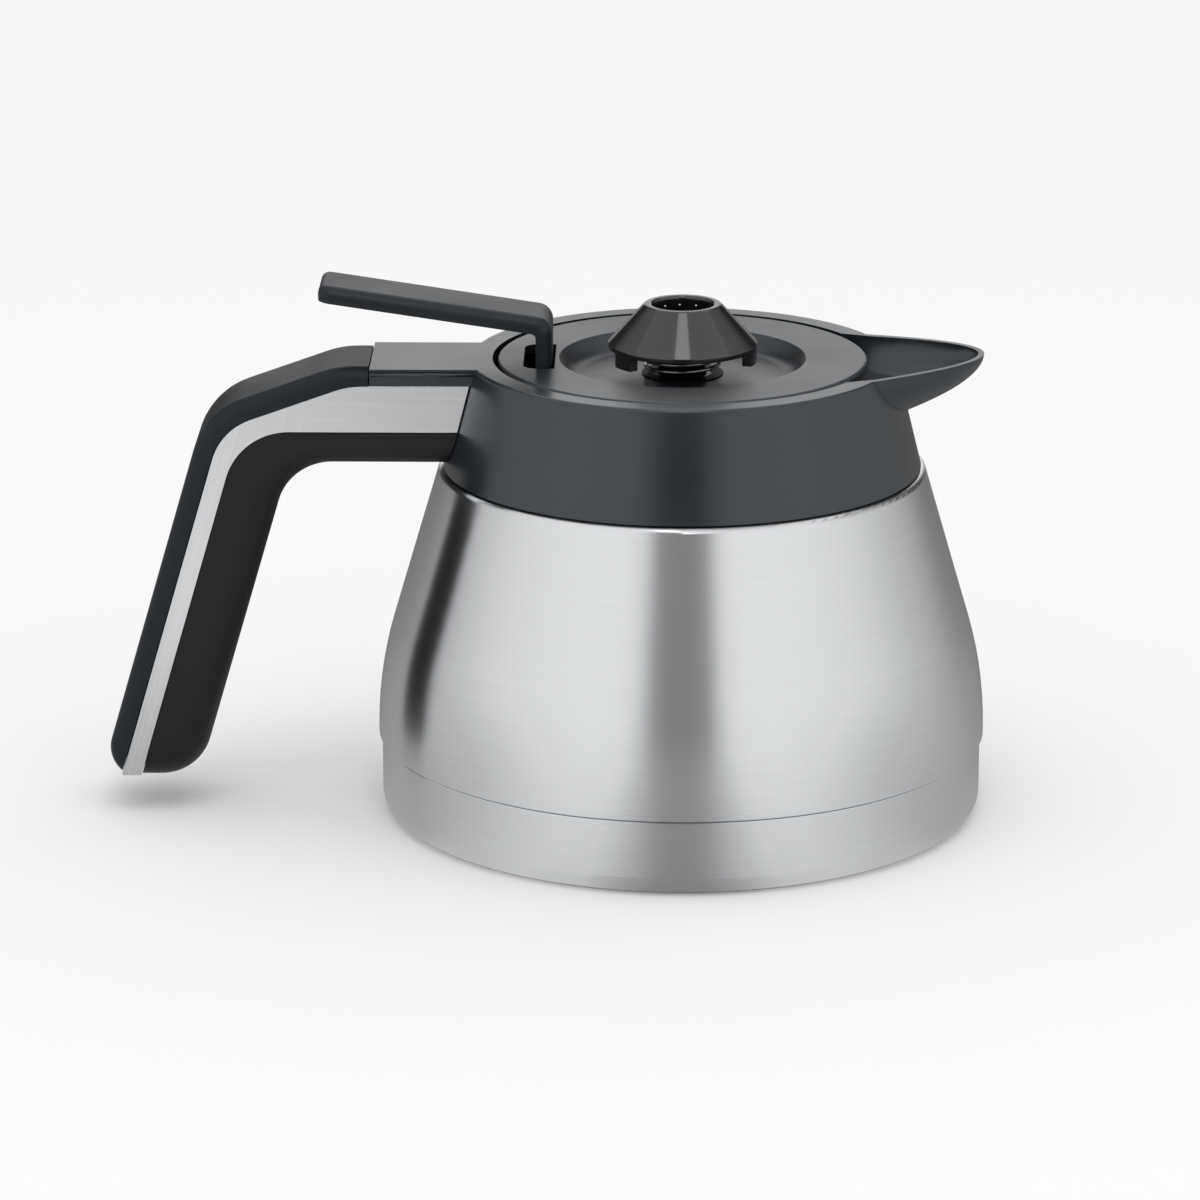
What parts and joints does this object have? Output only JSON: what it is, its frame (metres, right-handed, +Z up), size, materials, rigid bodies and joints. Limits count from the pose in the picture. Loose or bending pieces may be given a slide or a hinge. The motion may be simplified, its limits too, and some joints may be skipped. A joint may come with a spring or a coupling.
{
  "type": "vacuum jug",
  "caption": "Tapered double-walled steel vacuum jug with a side handle, a spouted collar and a lift-off lid carrying a thumb lever, a pour valve and a sprung brew-through cone.",
  "frame": {"origin": "middle of the flat underside of the base cup, on the flask's axis", "axes": "+Z up along the flask's axis, +X towards the spout, -X towards the handle"},
  "size_m": [0.2162, 0.15, 0.133],
  "materials": {
    "body_steel": "satin steel, fine brushing round the jug",
    "flask_steel": "plain satin steel",
    "trim_steel": "satin steel strip with bright edges",
    "spring_steel": "drawn bright spring wire",
    "fastener_steel": "bright plated steel",
    "seal_braze": "dull braze bead",
    "getter_powder": "pressed grey powder",
    "collar_plastic": "fine satin moulding, dark slate grey",
    "cap_plastic": "fine satin moulding, dark slate grey",
    "lid_plastic": "fine satin moulding, dark slate grey",
    "lever_plastic": "satin moulding, dark grey",
    "cone_plastic": "gloss black moulding",
    "inner_plastic": "plain black moulding",
    "grip_rubber": "soft-touch black skin",
    "seal_silicone": "grey silicone"
  },
  "bodies": {
    "jug": {"outer_shell": "body_steel", "inner_flask": "flask_steel", "bottom_plate": "flask_steel", "vacuum_seal_bead": "seal_braze", "getter": "getter_powder", "base_cup": "body_steel", "collar": "collar_plastic", "neck_gasket": "seal_silicone", "handle_cap": "cap_plastic", "handle_trim_left": "trim_steel", "handle_trim_right": "trim_steel", "handle_core": "inner_plastic", "handle_grip": "grip_rubber", "handle_screws": "fastener_steel"},
    "lid": {"lid_top": "lid_plastic", "lid_base": "inner_plastic", "lid_seal": "seal_silicone", "lid_screws": "fastener_steel", "lever_pin": "fastener_steel", "pour_spring": "spring_steel", "brew_spring": "spring_steel"},
    "lever": {"thumb_lever": "lever_plastic"},
    "pour_valve": {"pour_valve": "inner_plastic", "pour_valve_gasket": "seal_silicone"},
    "brew_valve": {"brew_cone": "cone_plastic", "brew_stem": "inner_plastic", "brew_plug": "inner_plastic", "brew_seal": "seal_silicone"}
  },
  "joints": [
    {"name": "lid_lift", "type": "slide", "parent": "jug", "child": "lid", "axis": [0, 0, 1], "range_m": [0, 0.04]},
    {"name": "lever_press", "type": "hinge", "parent": "lid", "child": "lever", "pos_m": [-0.03367, 0, 0.1], "axis": [0, -1, 0], "range_deg": [0, 10], "stiffness_Nm_per_rad": 0.4, "springref_deg": -14.32},
    {"name": "pour_lift", "type": "slide", "parent": "lid", "child": "pour_valve", "axis": [0, 0, 1], "range_m": [0, 0.006], "deforming": ["pour_spring"]},
    {"name": "brew_press", "type": "slide", "parent": "lid", "child": "brew_valve", "axis": [0, 0, -1], "range_m": [0, 0.0032], "stiffness_N_per_m": 400, "springref_m": -0.005, "deforming": ["brew_spring"]}
  ],
  "couplings": [
    {"joint": "pour_lift", "follows": "lever_press", "m_per_rad": 0.0342}
  ]
}
